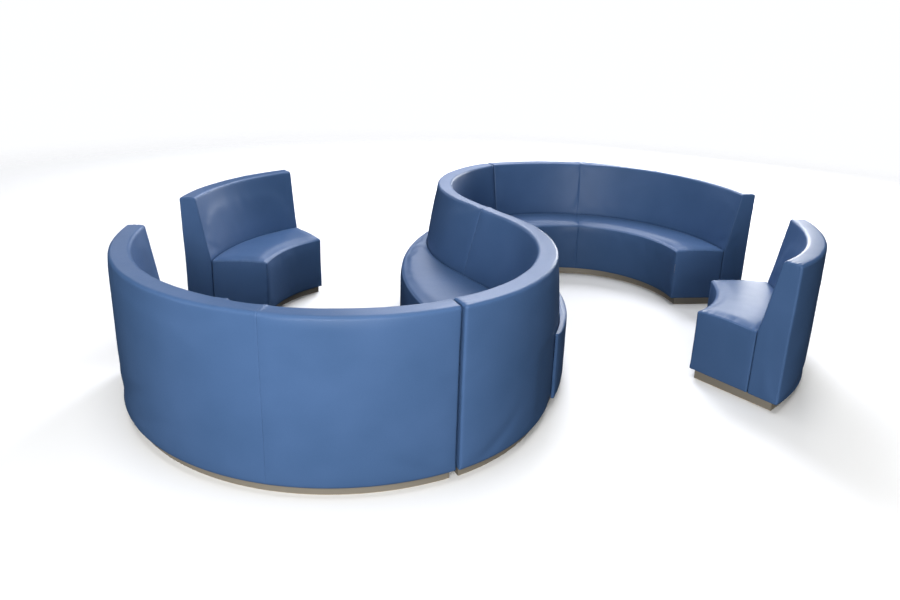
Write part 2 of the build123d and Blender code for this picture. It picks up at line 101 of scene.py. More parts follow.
SEAT_FRONTS = {
    -1: [(-227.0, -1089.0), (47.0, -874.0), (380.0, -492.0), (673.0, 190.0), (740.0, 507.0)],
    1: [(-259.0, -1057.0), (39.0, -790.0), (226.0, -507.0), (590.0, 170.0), (690.0, 480.0)],
}


def polar(centre, radius, degrees):
    """Point at a radius and an angle from a centre."""
    a = math.radians(degrees)
    return (centre[0] + radius * math.cos(a), centre[1] + radius * math.sin(a))


def between(a, b, share):
    """Point on the straight line from a to b."""
    return tuple(p + (q - p) * share for p, q in zip(a, b))


def centre_through(a, b, c):
    """Centre of the circle through three points."""
    ax, ay, bx, by, cx, cy = *a, *b, *c
    d = 2 * (ax * (by - cy) + bx * (cy - ay) + cx * (ay - by))
    aa, bb, cc = ax * ax + ay * ay, bx * bx + by * by, cx * cx + cy * cy
    x = (aa * (by - cy) + bb * (cy - ay) + cc * (ay - by)) / d
    y = (aa * (cx - bx) + bb * (ax - cx) + cc * (bx - ax)) / d
    return (x, y)


def arc_between(centre, start, end, share):
    """Point on the short arc from start to end round a centre."""
    a = math.atan2(start[1] - centre[1], start[0] - centre[0])
    b = math.atan2(end[1] - centre[1], end[0] - centre[0])
    sweep = (b - a + math.pi) % (2 * math.pi) - math.pi
    radius = math.hypot(start[0] - centre[0], start[1] - centre[1])
    return polar(centre, radius, math.degrees(a + sweep * share))


def tangent_centre(start, direction, end):
    """Centre of the circle that leaves start in a direction and passes through end."""
    nx, ny = -direction[1], direction[0]
    dx, dy = end[0] - start[0], end[1] - start[1]
    k = (dx * dx + dy * dy) / (2 * (dx * nx + dy * ny))
    return (start[0] + k * nx, start[1] + k * ny)


def tangent_at(centre, point, towards):
    """Direction along a circle at a point, on the side that leads on towards another point."""
    rx, ry = point[0] - centre[0], point[1] - centre[1]
    size = math.hypot(rx, ry)
    t = (-ry / size, rx / size)
    if t[0] * (towards[0] - point[0]) + t[1] * (towards[1] - point[1]) < 0:
        t = (-t[0], -t[1])
    return t


def even(points, count):
    """The same line as count points at equal steps."""
    reach = [0.0]
    for a, b in zip(points, points[1:]):
        reach.append(reach[-1] + math.dist(a, b))
    made, n = [], 0
    for i in range(count):
        want = reach[-1] * i / (count - 1)
        while n < len(points) - 2 and reach[n + 1] < want:
            n += 1
        share = (want - reach[n]) / (reach[n + 1] - reach[n])
        made.append(between(points[n], points[n + 1], share))
    return made


def to_world(point, side=1):
    """Point of the centre unit's plan in the frame; side -1 turns it half round first."""
    x, y = side * point[0], side * point[1]
    c, s = math.cos(CENTRE_TURN), math.sin(CENTRE_TURN)
    return (CENTRE_ORIGIN[0] + c * x - s * y, CENTRE_ORIGIN[1] + s * x + c * y)


def to_plan(point, side=1):
    """The way back from to_world."""
    x, y = point[0] - CENTRE_ORIGIN[0], point[1] - CENTRE_ORIGIN[1]
    c, s = math.cos(CENTRE_TURN), math.sin(CENTRE_TURN)
    return (side * (c * x + s * y), side * (c * y - s * x))


def joint_way(side):
    """Direction in the frame that leads away from a joint, into the centre unit."""
    a = math.radians(ENDS[JOINT_UNIT[side]][1])
    return (-math.sin(a), math.cos(a))


def joint_distance(point, side):
    """How far a plan point lies on the centre unit's side of its joint with a long unit."""
    centre, way = CENTRES[JOINT_UNIT[side]], joint_way(side)
    x, y = to_world(point, side)
    return (x - centre[0]) * way[0] + (y - centre[1]) * way[1] - UNIT_GAP


def hollow(level, angle, gap=0.0):
    """Hollow side of an arm, at an angle round it from the straight middle."""
    radius = HOLLOW_RADIUS[level]
    return polar((HALF[level] + radius, HOLLOW_RISE[level]), radius - gap, 180 - angle)


def convex(level, angle, swell, gap=0.0):
    """Full side of an arm: an arc that swells to the seat's tip, and another to the joint."""
    radius = CONVEX_RADIUS + gap
    tip = polar(CONVEX_CENTRE, radius + swell, -TIP_ANGLE)
    if angle <= TIP_ANGLE:
        start = (HALF[level] + gap, -CONVEX_RISE[level])
        return arc_between(tangent_centre(start, (0, -1), tip), start, tip, angle / TIP_ANGLE)
    end = polar(CONVEX_CENTRE, radius, -ARM_ANGLE)
    after = polar(CONVEX_CENTRE, radius + swell / 4, -(ARM_ANGLE + TIP_ANGLE) / 2)
    share = (angle - TIP_ANGLE) / (ARM_ANGLE - TIP_ANGLE)
    return arc_between(centre_through(tip, after, end), tip, end, share)


SURELY_INSIDE = 60.0     # degrees round an arm, well short of its joint
HALVINGS = 40


def angle_at_joint(line, side):
    """Angle round the arm at which a line of the plan meets the joint."""
    low, high = SURELY_INSIDE, ARM_ANGLE
    for _ in range(HALVINGS):
        middle = (low + high) / 2
        if joint_distance(line(middle), side) > 0:
            low = middle
        else:
            high = middle
    return low


def wall_line(level, side):
    """One long side of the wall at one level, as a function of the way along, 0 to 1."""
    swell = TIP_SWELL[side] if level == LOW else CREST_SWELL
    seam = WALL_SEAM_PLACE * side

    def hollow_line(angle):
        return hollow(level, angle)

    def convex_line(angle):
        return convex(level, angle, swell)

    def turned_convex_line(angle):
        return tuple(-c for c in convex_line(angle))

    hollow_end = angle_at_joint(hollow_line, side)
    convex_end = angle_at_joint(turned_convex_line, -side)

    def along(t):
        if side < 0:
            t = 1 - t
        if t < ARM_SHARE:
            plan = hollow_line(hollow_end * (1 - t / ARM_SHARE))
        elif t <= 1 - ARM_SHARE:
            # The straight middle in two halves, so that the seam is half way along the wall
            halves = 2 * (t - ARM_SHARE) / (1 - 2 * ARM_SHARE)
            start, end = (HOLLOW_RISE[level], seam) if halves < 1 else (seam, -CONVEX_RISE[level])
            plan = (HALF[level], start + (end - start) * (halves % 1 if halves < 2 else 1))
        else:
            plan = convex_line(convex_end * (t - 1 + ARM_SHARE) / ARM_SHARE)
        return to_world(plan, side)

    return along


low_lines = (wall_line(LOW, 1), wall_line(LOW, -1))
top_lines = (wall_line(TOP, 1), wall_line(TOP, -1))


def slope_share(z):
    """How far up the sloping part of a back a height is: 0 at the seat, 1 at the top."""
    return max(0.0, (z - SEAT_HEIGHT) / (OVERALL_HEIGHT - SEAT_HEIGHT))


def wall_span(t, z):
    """Both sides of the wall, at a way along it and a height."""
    share = slope_share(z)
    return tuple(between(low(t), top(t), share) for low, top in zip(low_lines, top_lines))


def ring_back_span(unit):
    """Sloping inside and upright outside of a ring unit's back."""
    start, end = ENDS[unit]

    def span(t, z):
        inner = BACK_INNER + (BACK_TOP_INNER - BACK_INNER) * slope_share(z)
        angle = start + (end - start) * t
        return polar(CENTRES[unit], inner, angle), polar(CENTRES[unit], OUTER_RADIUS, angle)

    return span


def ring_seat_span(unit):
    """Rear and front of a ring unit's seat."""
    start, end = ENDS[unit]

    def span(t, z):
        angle = start + (end - start) * t
        return polar(CENTRES[unit], SEAT_REAR, angle), polar(CENTRES[unit], SEAT_FRONT, angle)

    return span


def ring_ways(unit):
    """Directions into a ring unit from its two ends."""
    a, b = (math.radians(x) for x in ENDS[unit])
    return (-math.sin(a), math.cos(a)), (math.sin(b), -math.cos(b))


# Steps and points of the lines that the centre unit's seats are drawn from
ARC_STEPS, SIDE_STEPS = 80, 200
FINE_POINTS = 900
EDGE_POINTS = 241
REAR_TIMES = 6           # the rear has this many times the front's points
SMOOTHING_ROUNDS = 12


def seat_front_line(side):
    """Front edge of a centre seat, from its thin tip to the joint."""
    front = SEAT_FRONTS[side]
    unit = JOINT_UNIT[side]
    corner = to_plan(polar(CENTRES[unit], SEAT_FRONT, ENDS[unit][1]), side)
    steps = [i / ARC_STEPS for i in range(ARC_STEPS + 1)]
    centre = centre_through(*front[:3])
    line = [arc_between(centre, front[0], front[1], s) for s in steps]
    line += [arc_between(centre, front[1], front[2], s) for s in steps[1:]]
    for start, end in zip(front[2:], front[3:] + [corner]):
        centre = tangent_centre(start, tangent_at(centre, start, end), end)
        line += [arc_between(centre, start, end, s) for s in steps[1:]]
    inside = [p for p in even(line, FINE_POINTS) if joint_distance(p, side) > 0]
    return even(inside, EDGE_POINTS)


def seat_rear_line(side):
    """Rear edge of a centre seat, just clear of the wall."""
    steps = [i / SIDE_STEPS for i in range(SIDE_STEPS + 1)]
    hollow_end = angle_at_joint(lambda a: hollow(LOW, a, SEAT_GAP), side)
    line = [convex(LOW, TIP_ANGLE * (1 - s), TIP_SWELL[side], SEAT_GAP) for s in steps]
    line += [hollow(LOW, hollow_end * s, SEAT_GAP) for s in steps]
    return even(line, REAR_TIMES * EDGE_POINTS)


def nearest_share(line, point):
    """Share of a line at which its nearest point to another point lies."""
    nearest = min(range(len(line)), key=lambda n: math.dist(line[n], point))
    return nearest / (len(line) - 1)


def pick(line, share):
    """Point at a share of a line of equal steps."""
    n = min(int(share * (len(line) - 1)), len(line) - 2)
    return between(line[n], line[n + 1], share * (len(line) - 1) - n)


def centre_seat_span(side):
    """Rear and front of a centre seat, matched square across the seat."""
    front, rear = seat_front_line(side), seat_rear_line(side)
    feet = [nearest_share(rear, p) for p in front]
    for _ in range(SMOOTHING_ROUNDS):
        middle = [(a + b + c) / 3 for a, b, c in zip(feet, feet[1:], feet[2:])]
        feet = [feet[0]] + middle + [feet[-1]]
    first, last = feet[0], feet[-1]
    feet = [(f - first) / (last - first) for f in feet]

    def span(t, z):
        place = t * (EDGE_POINTS - 1)
        n = min(int(place), EDGE_POINTS - 2)
        foot = feet[n] + (feet[n + 1] - feet[n]) * (place - n)
        return to_world(pick(rear, foot), side), to_world(pick(front, t), side)

    length = sum(math.dist(a, b) for a, b in zip(front, front[1:]))
    tip_way = (Vector(front[1]) - Vector(front[0])).normalized()
    return span, length, tuple(side * c for c in tip_way)


# Upholstery: each cover is a block of squares that is laid along its unit, swollen and smoothed.
# The mesh is closest at the rolled edges, the ends and the seams.
ROLL_SHARES = (0.0, 0.3, 0.65)
END_TURNS = (90, 60, 30, 0)
SEAM_STEPS = (-9.0, -4.0, -1.5, 0.0, 1.5, 4.0, 9.0)
MOST_CUTS = 100
MESH_STEP, STEP_GROWTH = 34.0, 1.04
FIRST_STEP = 0.9         # of a step, from each end to the first cut
SEAM_CLEAR = 0.6         # of a step, kept free of other cuts beside a seam
ROLL_LIMIT = 0.9         # of a thin tip's width, for both its rolled edges together
LEAST_ROLL = 0.4
ALONG_AXIS = 0.9         # share of an edge's length that makes it one of an axis' edges


def rounded(p, q):
    """Moves a point of a square corner into the round corner of the same size."""
    if p <= 0 or q <= 0:
        return p, q
    return p * math.sqrt(1 - q * q / 2), q * math.sqrt(1 - p * p / 2)


def along_stations(length, step, seams):
    """Where a cover is cut lengthways: (way along, distance from an end, inset, which end)."""
    turns = [math.radians(d) for d in END_TURNS]
    rings = [(END_ROLL * (1 - math.sin(a)), END_ROLL * (1 - math.cos(a))) for a in turns]
    count = round((length - 2 * step) / step)
    middle_length = length - 2 * FIRST_STEP * step
    middle = [(step * FIRST_STEP + middle_length * i / count) / length for i in range(count + 1)]
    for seam in seams:
        middle = [t for t in middle if abs(t - seam) * length > step * SEAM_CLEAR]
        middle += [seam + d / length for d in SEAM_STEPS]
    made = [(0.0, e, s, 0) for e, s in rings]
    made += [(t, 0.0, 0.0, None) for t in sorted(middle)]
    return made + [(1.0, e, s, 1) for e, s in reversed(rings)]


def squared_block(name, counts):
    """A block cut into squares all round, its corners at whole numbers of squares."""
    bpy.ops.object.select_all(action="DESELECT")
    bpy.ops.mesh.primitive_cube_add(size=1.0)
    block = bpy.context.object
    block.name = block.data.name = name
    bpy.ops.object.mode_set(mode="EDIT")
    bpy.context.tool_settings.mesh_select_mode = (False, True, False)
    for axis, count in enumerate(counts):
        mesh = bmesh.from_edit_mesh(block.data)
        for edge in mesh.edges:
            way = edge.verts[1].co - edge.verts[0].co
            edge.select_set(abs(way[axis]) > ALONG_AXIS * way.length)
        mesh.select_flush_mode()
        bmesh.update_edit_mesh(block.data)
        bpy.ops.mesh.subdivide(number_cuts=count - 1)
    bpy.ops.object.mode_set(mode="OBJECT")
    return block


def cover_block(name, span, length, ways, top, crown, rolls, rows, columns, seams):
    """An upholstered block that follows a span, with rolled top edges and rounded ends."""
    step = MESH_STEP
    along = along_stations(length, step, seams)
    while len(along) > MOST_CUTS:
        step *= STEP_GROWTH
        along = along_stations(length, step, seams)
    # Across: rear edge, flat part and front edge. Up: the sides and then the rolled edge.
    across = [(s, 0) for s in ROLL_SHARES] + [(i / columns, 1) for i in range(columns + 1)]
    across += [(s, 2) for s in reversed(ROLL_SHARES)]
    up = [(row, 0) for row in rows] + [(s, 1) for s in reversed(ROLL_SHARES)]
    counts = (len(along) - 1, len(across) - 1, len(up) - 1)
    block = squared_block(name, counts)
    places = []
    for vertex in block.data.vertices:
        i, j, k = (round((c + 0.5) * n) for c, n in zip(vertex.co, counts))
        t, distance, inset, end = along[i]
        push = (0.0, 0.0) if end is None else tuple(w * distance for w in ways[end])
        width = math.dist(*span(t, top)) - 2 * inset
        shrink = min(1.0, ROLL_LIMIT * width / (rolls[0] + rolls[1]))
        rear, front = (max(r * shrink - inset, LEAST_ROLL) for r in rolls)
        # How far the point lies from the rear, and below the top
        share, zone = across[j]
        off = (share * rear, rear + share * (width - rear - front), width - share * front)[zone]
        f = min(1.0, max(0.0, off / width))
        roll = rear + (front - rear) * f
        arch = crown * (1 - (2 * f - 1) ** 2) * min(1.0, width / SEAT_DEPTH)
        edge = top + arch - inset
        share, zone = up[k]
        below = share * roll if zone else roll + (1 - share) * (edge - roll - FOOT)
        for size, from_rear in ((rear, True), (front, False)):
            near = off if from_rear else width - off
            if near < size and below < size:
                p, q = rounded((size - near) / size, (size - below) / size)
                below = size * (1 - q)
                off = size * (1 - p) if from_rear else width - size * (1 - p)
        z = edge - below
        side_a, side_b = span(t, z)
        whole = math.dist(side_a, side_b)
        x, y = between(side_a, side_b, (inset + off / width * (whole - 2 * inset)) / whole)
        places.append((i, j, k, t, z))
        vertex.co = Vector((x + push[0], y + push[1], z)) * MM
    bpy.ops.object.mode_set(mode="EDIT")
    bpy.ops.mesh.select_all(action="SELECT")
    bpy.ops.mesh.normals_make_consistent(inside=False)
    bpy.ops.object.mode_set(mode="OBJECT")
    return block, places, counts


CLOTH_FRAMES = 20


def swell_cover(piece, freedom, held):
    """Foam pressing on its cover: a cloth simulation, with each point's travel limited."""
    start = [v.co.copy() for v in piece.data.vertices]
    group = piece.vertex_groups.new(name="held")
    group.add(held, 1.0, "REPLACE")
    cloth = piece.modifiers.new("Foam", "CLOTH")
    settings = cloth.settings
    settings.quality = 4
    settings.mass = 0.4
    settings.tension_stiffness = settings.compression_stiffness = 12.0
    settings.shear_stiffness = 6.0
    settings.bending_stiffness = 4.0
    settings.use_pressure = True
    settings.uniform_pressure_force = 4.0
    settings.vertex_group_mass = group.name
    settings.effector_weights.gravity = 0.0
    cloth.collision_settings.use_collision = False
    cloth.point_cache.frame_start, cloth.point_cache.frame_end = 1, CLOTH_FRAMES
    scene = bpy.context.scene
    for number in range(1, CLOTH_FRAMES + 1):
        scene.frame_set(number)
    bpy.context.view_layer.objects.active = piece
    bpy.ops.object.modifier_apply(modifier=cloth.name)
    scene.frame_set(1)
    piece.vertex_groups.clear()
    for vertex, rest, most in zip(piece.data.vertices, start, freedom):
        move = vertex.co - rest
        if move.length > most * MM:
            vertex.co = rest + move.normalized() * most * MM


# Unevenness of a cover in millimetres: each height, and then the distance it takes
WAVE, WAVE_LENGTH = 0.9, 150.0
RIPPLE, RIPPLE_LENGTH = 0.4, 50.0
PUCKER, PUCKER_REACH, PUCKER_DROP, PUCKER_STEP = 3.0, 42.0, 34.0, 17.0
SEAM_DEPTH, SEAM_WIDTH = 1.6, 2.0
LIP, LIP_PLACE, LIP_SPREAD = 0.5, 7, 12
PULL, PULL_STEP, PULL_REACH = 0.35, 4.1, 11
PULL_WANDER, WANDER_LENGTH = 3, 40.0
SEAM_REACH, SEAM_SECTION = 60, 420       # how far to each side, and along, a seam is felt
FOOT_FADE = 20.0


def puckers(point, top, ends):
    """Short stretch marks over the top edge at each end, where the vinyl is pulled tight."""
    move = 0.0
    for origin, way in ends:
        reach = (point.x - origin[0]) * way[0] + (point.y - origin[1]) * way[1]
        along_edge = (point.y - origin[1]) * way[0] - (point.x - origin[0]) * way[1]
        near = math.exp(-(reach / PUCKER_REACH) ** 2 - ((top - point.z) / PUCKER_DROP) ** 2)
        move += PUCKER * near * noise.noise((along_edge / PUCKER_STEP, origin[0], 0.0))
    return move


def seam_press(point, origin, way):
    """A seam's groove with a low lip on both sides, pulled in a little at each stitch."""
    off = (point.x - origin[0]) * way[0] + (point.y - origin[1]) * way[1]
    near = Vector((point.x - origin[0], point.y - origin[1])).length
    if abs(off) > SEAM_REACH or near > SEAM_SECTION:
        return 0.0
    pull = PULL * math.cos(point.z / PULL_STEP + PULL_WANDER * noise.noise(point / WANDER_LENGTH))
    move = -SEAM_DEPTH * math.exp(-(off / SEAM_WIDTH) ** 2)
    move += LIP * math.exp(-(abs(off) - LIP_PLACE) ** 2 / LIP_SPREAD)
    return move + pull * math.exp(-abs(off) / PULL_REACH)


def finish_cover(piece, seam_planes, top, ends):
    """Smooths a cover, presses its seams in and gives the vinyl its slight unevenness."""
    bpy.context.view_layer.objects.active = piece
    smooth = piece.modifiers.new("Smooth", "SUBSURF")
    smooth.levels = smooth.render_levels = 1
    bpy.ops.object.modifier_apply(modifier=smooth.name)
    normals = [n.vector.copy() for n in piece.data.vertex_normals]
    for vertex, normal in zip(piece.data.vertices, normals):
        point = vertex.co / MM
        move = WAVE * noise.noise(point / WAVE_LENGTH) + RIPPLE * noise.noise(point / RIPPLE_LENGTH)
        move += puckers(point, top, ends)
        for origin, way in seam_planes:
            move += seam_press(point, origin, way)
        fade = min(1.0, max(0.0, (point.z - FOOT) / FOOT_FADE))
        vertex.co += normal * move * MM * fade
    bpy.ops.object.select_all(action="DESELECT")
    piece.select_set(True)
    bpy.ops.object.shade_smooth()


def linear(code, alpha=1.0):
    """Linear colour of an sRGB hex value."""
    made = []
    for i in (0, 2, 4):
        c = int(code[i:i + 2], 16) / 255
        made.append(c / 12.92 if c <= 0.04045 else ((c + 0.055) / 1.055) ** 2.4)
    return (*made, alpha)


def add_node(tree, kind, inputs=None, **settings):
    """Adds a node with its settings; its inputs take values or other nodes' outputs."""
    made = tree.nodes.new(kind)
    for name, value in settings.items():
        setattr(made, name, value)
    for name, value in (inputs or {}).items():
        if isinstance(value, bpy.types.NodeSocket):
            tree.links.new(value, made.inputs[name])
        else:
            made.inputs[name].default_value = value
    return made


def new_material(name, **constants):
    """A material with its shader's constant values set, and its tree and shader."""
    made = bpy.data.materials.new(name)
    made.use_nodes = True
    shader = made.node_tree.nodes["Principled BSDF"]
    for socket, value in constants.items():
        shader.inputs[socket.replace("_", " ")].default_value = value
    return made, made.node_tree, shader


# The two colour inputs of a Mix node and its colour output
COLOUR_A, COLOUR_B, MIXED = 6, 7, 2


def upholstery_vinyl():
    """Expanded PVC on a knitted backing, embossed with a fine grain: a deep blue that shifts a
    little from place to place, with a low satin gloss that the grain and its creases break up."""
    made, tree, shader = new_material("blue_upholstery_vinyl", IOR=1.28)
    place = add_node(tree, "ShaderNodeTexCoord").outputs["Object"]
    # Pebbles of the grain are about 1.1 mm on the real vinyl, and drawn 2.5 mm so that they
    # show. Its creases are 12 mm apart, and its shade shifts over 350 mm.
    grain = add_node(tree, "ShaderNodeTexVoronoi", {"Vector": place, "Scale": 1 / 0.0025},
                     feature="SMOOTH_F1").outputs["Distance"]
    crease = add_node(tree, "ShaderNodeTexNoise", {"Vector": place, "Scale": 1 / 0.012,
                                                  "Detail": 4.0, "Roughness": 0.6}).outputs[0]
    cloud = add_node(tree, "ShaderNodeTexNoise", {"Vector": place, "Scale": 1 / 0.35,
                                                 "Detail": 2.0}).outputs[0]
    shade = add_node(tree, "ShaderNodeMix", {"Factor": cloud, COLOUR_A: linear("3F5C83"),
                                             COLOUR_B: linear("4F6C97")}, data_type="RGBA")
    depth = add_node(tree, "ShaderNodeMapRange", {"Value": grain, "To Min": 0.0, "To Max": 0.35})
    speck = add_node(tree, "ShaderNodeMix", {"Factor": depth.outputs[0],
                                             COLOUR_A: shade.outputs[MIXED],
                                             COLOUR_B: linear("C8CCD4")},
                     data_type="RGBA", blend_type="MULTIPLY")
    tree.links.new(speck.outputs[MIXED], shader.inputs["Base Color"])
    gloss = add_node(tree, "ShaderNodeMapRange", {"Value": crease, "To Min": 0.36, "To Max": 0.5})
    tree.links.new(gloss.outputs[0], shader.inputs["Roughness"])
    fine = add_node(tree, "ShaderNodeBump", {"Strength": 0.12, "Distance": 0.0004, "Height": grain})
    soft = add_node(tree, "ShaderNodeBump", {"Strength": 0.18, "Distance": 0.0012,
                                             "Height": crease, "Normal": fine.outputs[0]})
    tree.links.new(soft.outputs[0], shader.inputs["Normal"])
    return made


def brushed_band():
    """Stainless steel strip, brushed lengthways and dulled by use, so that it mirrors only in
    part: warm grey, with fine level lines."""
    made, tree, shader = new_material("brushed_plinth_steel", Metallic=0.4)
    place = add_node(tree, "ShaderNodeTexCoord").outputs["Object"]
    # Brush lines are about 0.3 mm apart, and drawn 1 mm apart so that they show
    lines = add_node(tree, "ShaderNodeMapping", {"Vector": place, "Scale": (6.0, 6.0, 1 / 0.001)})
    brush = add_node(tree, "ShaderNodeTexNoise", {"Vector": lines.outputs[0], "Scale": 1.0,
                                                 "Detail": 3.0}).outputs[0]
    tone = add_node(tree, "ShaderNodeMix", {"Factor": brush, COLOUR_A: linear("988F82"),
                                            COLOUR_B: linear("ADA596")}, data_type="RGBA")
    tree.links.new(tone.outputs[MIXED], shader.inputs["Base Color"])
    gloss = add_node(tree, "ShaderNodeMapRange", {"Value": brush, "To Min": 0.34, "To Max": 0.52})
    tree.links.new(gloss.outputs[0], shader.inputs["Roughness"])
    bump = add_node(tree, "ShaderNodeBump", {"Strength": 0.15, "Distance": 0.0002, "Height": brush})
    tree.links.new(bump.outputs[0], shader.inputs["Normal"])
    return made


def birch_plywood():
    """Unfinished birch plywood, sawn: pale straw faces with soft grain."""
    made, tree, shader = new_material("birch_plywood", Roughness=0.62)
    place = add_node(tree, "ShaderNodeTexCoord").outputs["Object"]
    # Growth lines run lengthways, about 14 mm apart on rotary-cut veneer
    run = add_node(tree, "ShaderNodeMapping", {"Vector": place,
                                               "Scale": (1 / 0.09, 1 / 0.014, 1 / 0.014)})
    grain = add_node(tree, "ShaderNodeTexNoise", {"Vector": run.outputs[0], "Scale": 1.0,
                                                 "Detail": 6.0, "Distortion": 1.2}).outputs[0]
    tone = add_node(tree, "ShaderNodeMix", {"Factor": grain, COLOUR_A: linear("C9A877"),
                                            COLOUR_B: linear("E3CBA0")}, data_type="RGBA")
    tree.links.new(tone.outputs[MIXED], shader.inputs["Base Color"])
    bump = add_node(tree, "ShaderNodeBump", {"Strength": 0.2, "Distance": 0.0003, "Height": grain})
    tree.links.new(bump.outputs[0], shader.inputs["Normal"])
    return made


def zinc_plate():
    """Bright zinc plate on steel bolts: cool grey, faintly mottled."""
    made, tree, shader = new_material("zinc_plated_steel", Metallic=1.0)
    place = add_node(tree, "ShaderNodeTexCoord").outputs["Object"]
    # Spangle is about 2 mm across
    spangle = add_node(tree, "ShaderNodeTexVoronoi", {"Vector": place,
                                                     "Scale": 1 / 0.002}).outputs["Distance"]
    tone = add_node(tree, "ShaderNodeMix", {"Factor": spangle, COLOUR_A: linear("B4B8BD"),
                                            COLOUR_B: linear("D2D5D8")}, data_type="RGBA")
    tree.links.new(tone.outputs[MIXED], shader.inputs["Base Color"])
    gloss = add_node(tree, "ShaderNodeMapRange", {"Value": spangle, "To Min": 0.25, "To Max": 0.4})
    tree.links.new(gloss.outputs[0], shader.inputs["Roughness"])
    return made


VINYL, BAND, PLYWOOD, ZINC = upholstery_vinyl(), brushed_band(), birch_plywood(), zinc_plate()
NODE_FINISH = {"kick_band": BAND, "bolts": ZINC, "frame": PLYWOOD, "panel": PLYWOOD}
for name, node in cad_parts.items():
    finish = next((m for ending, m in NODE_FINISH.items() if name.endswith(ending)), VINYL)
    node.data.materials.clear()
    node.data.materials.append(finish)

# The eleven covers: squares of their meshes, and how far foam may push them in millimetres
BACK_ROWS, BACK_SQUARES, BACK_CROWN = 15, 6, 2.0
SEAT_ROWS, SEAT_SQUARES = 13, 20
RING_SEAT_CROWN, CENTRE_SEAT_CROWN = 12.0, 8.0
CENTRE_SEAT_EDGE = SEAT_HEIGHT - 1.0
BACK_PUSH, SEAT_SIDE_PUSH, SEAT_TOP_PUSH = 4.5, 4.0, 7.0
FOOT_RAMP, SEAT_LINE_RAMP = 50, 70
REAR_RAMP = 5            # squares from a seat's rear over which its push grows
BEHIND_SEAT = 0.06       # share of its push that a back keeps behind a seat
END_SHARE = 0.5          # and that a cover keeps on its end faces
HELD_BELOW = 0.3         # a point that may move less than this stays where it is
SEAM_HOLD = 2            # and so does one this near to a seam
crease_share = (SEAT_HEIGHT - FOOT) / (OVERALL_HEIGHT - BACK_ROLL - FOOT)
back_rows = [crease_share * i / BACK_ROWS for i in range(BACK_ROWS)]
back_rows += [crease_share + (1 - crease_share) * i / BACK_ROWS for i in range(BACK_ROWS + 1)]
seat_rows = [i / SEAT_ROWS for i in range(SEAT_ROWS + 1)]


def ramp(value, low, high):
    """0 below low, 1 above high, and smooth between."""
    s = min(1.0, max(0.0, (value - low) / (high - low)))
    return s * s * (3 - 2 * s)


def back_freedom(place, counts, hidden):
    """How far foam may push a point of a back, which is little where a seat hides it."""
    i, j, k, t, z = place
    most = BACK_PUSH * ramp(z, FOOT, FOOT + FOOT_RAMP)
    if i in (0, counts[0]):
        most *= END_SHARE
    if hidden(j, counts[1], t):
        shown = ramp(z, SEAT_HEIGHT, SEAT_HEIGHT + SEAT_LINE_RAMP)
        most *= BEHIND_SEAT + (1 - BEHIND_SEAT) * shown
    return most


def seat_freedom(place, counts):
    """The same for a seat: the top gives most and the rear, against the back, nothing."""
    i, j, k, t, z = place
    most = SEAT_SIDE_PUSH * ramp(z, FOOT, FOOT + FOOT_RAMP)
    if k == counts[2]:
        most = SEAT_TOP_PUSH
    most *= ramp(j, 0, REAR_RAMP)
    if i in (0, counts[0]):
        most *= END_SHARE
    return most


def ring_back_freedom(place, counts):
    """A ring unit's back has its seat against the whole of its inner side."""
    return back_freedom(place, counts, lambda column, columns, t: column < columns / 2)


# Ways along the wall at which the thin tips of the centre unit's two seats are
TIP_WAY = {1: 0.86, -1: 0.14}


def wall_freedom(place, counts):
    """The centre wall has a seat against each side, from that seat's tip to its joint."""
    def beside_seat(column, columns, t):
        return t < TIP_WAY[1] if column < columns / 2 else t > TIP_WAY[-1]

    return back_freedom(place, counts, beside_seat)


def dress(unit, body, node, shape, freedom, seam_ways=(), seam_planes=()):
    """Makes one cover in full and puts it on its body."""
    name = f"{unit}_{node}_upholstery"
    piece, places, counts = cover_block(name=name, seams=seam_ways, **shape)
    travel = [freedom(place, counts) for place in places]
    held = [n for n, most in enumerate(travel) if most < HELD_BELOW]
    for n, place in enumerate(places):
        if any(abs(place[3] - t) * shape["length"] < SEAM_HOLD for t in seam_ways):
            held.append(n)
            travel[n] = 0.0
    swell_cover(piece, travel, sorted(set(held)))
    end_middles = [between(*shape["span"](t, shape["top"]), 0.5) for t in (0, 1)]
    finish_cover(piece, seam_planes, shape["top"], list(zip(end_middles, shape["ways"])))
    piece.data.materials.append(VINYL)
    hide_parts(f"{unit}_{node}_cover")
    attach(piece, body)


def ring_seam(unit):
    """Where a long unit's seam is: its way along, and its upright plane."""
    start, end = ENDS[unit]
    angle = end - SEAM_FROM_JOINT
    a = math.radians(angle)
    plane = (polar(CENTRES[unit], MID_RADIUS, angle), (-math.sin(a), math.cos(a)))
    return (angle - start) / (end - start), plane


BACK_MESH = dict(top=OVERALL_HEIGHT, crown=BACK_CROWN, rolls=(BACK_ROLL, BACK_ROLL),
                 rows=back_rows, columns=BACK_SQUARES)
SEAT_MESH = dict(rolls=(END_ROLL, SEAT_ROLL), rows=seat_rows, columns=SEAT_SQUARES)

for unit, (start, end) in ENDS.items():
    plan = dict(length=math.radians(end - start) * MID_RADIUS, ways=ring_ways(unit))
    seam_ways, seam_planes = [], []
    if unit.endswith("long"):
        way, plane = ring_seam(unit)
        seam_ways, seam_planes = [way], [plane]
    back = dict(span=ring_back_span(unit), **plan, **BACK_MESH)
    seat = dict(span=ring_seat_span(unit), top=SEAT_EDGE, crown=RING_SEAT_CROWN,
                **plan, **SEAT_MESH)
    body = f"{unit}_unit"
    dress(unit, body, "back", back, ring_back_freedom, seam_ways, seam_planes)
    dress(unit, body, "seat", seat, seat_freedom, seam_ways, seam_planes)

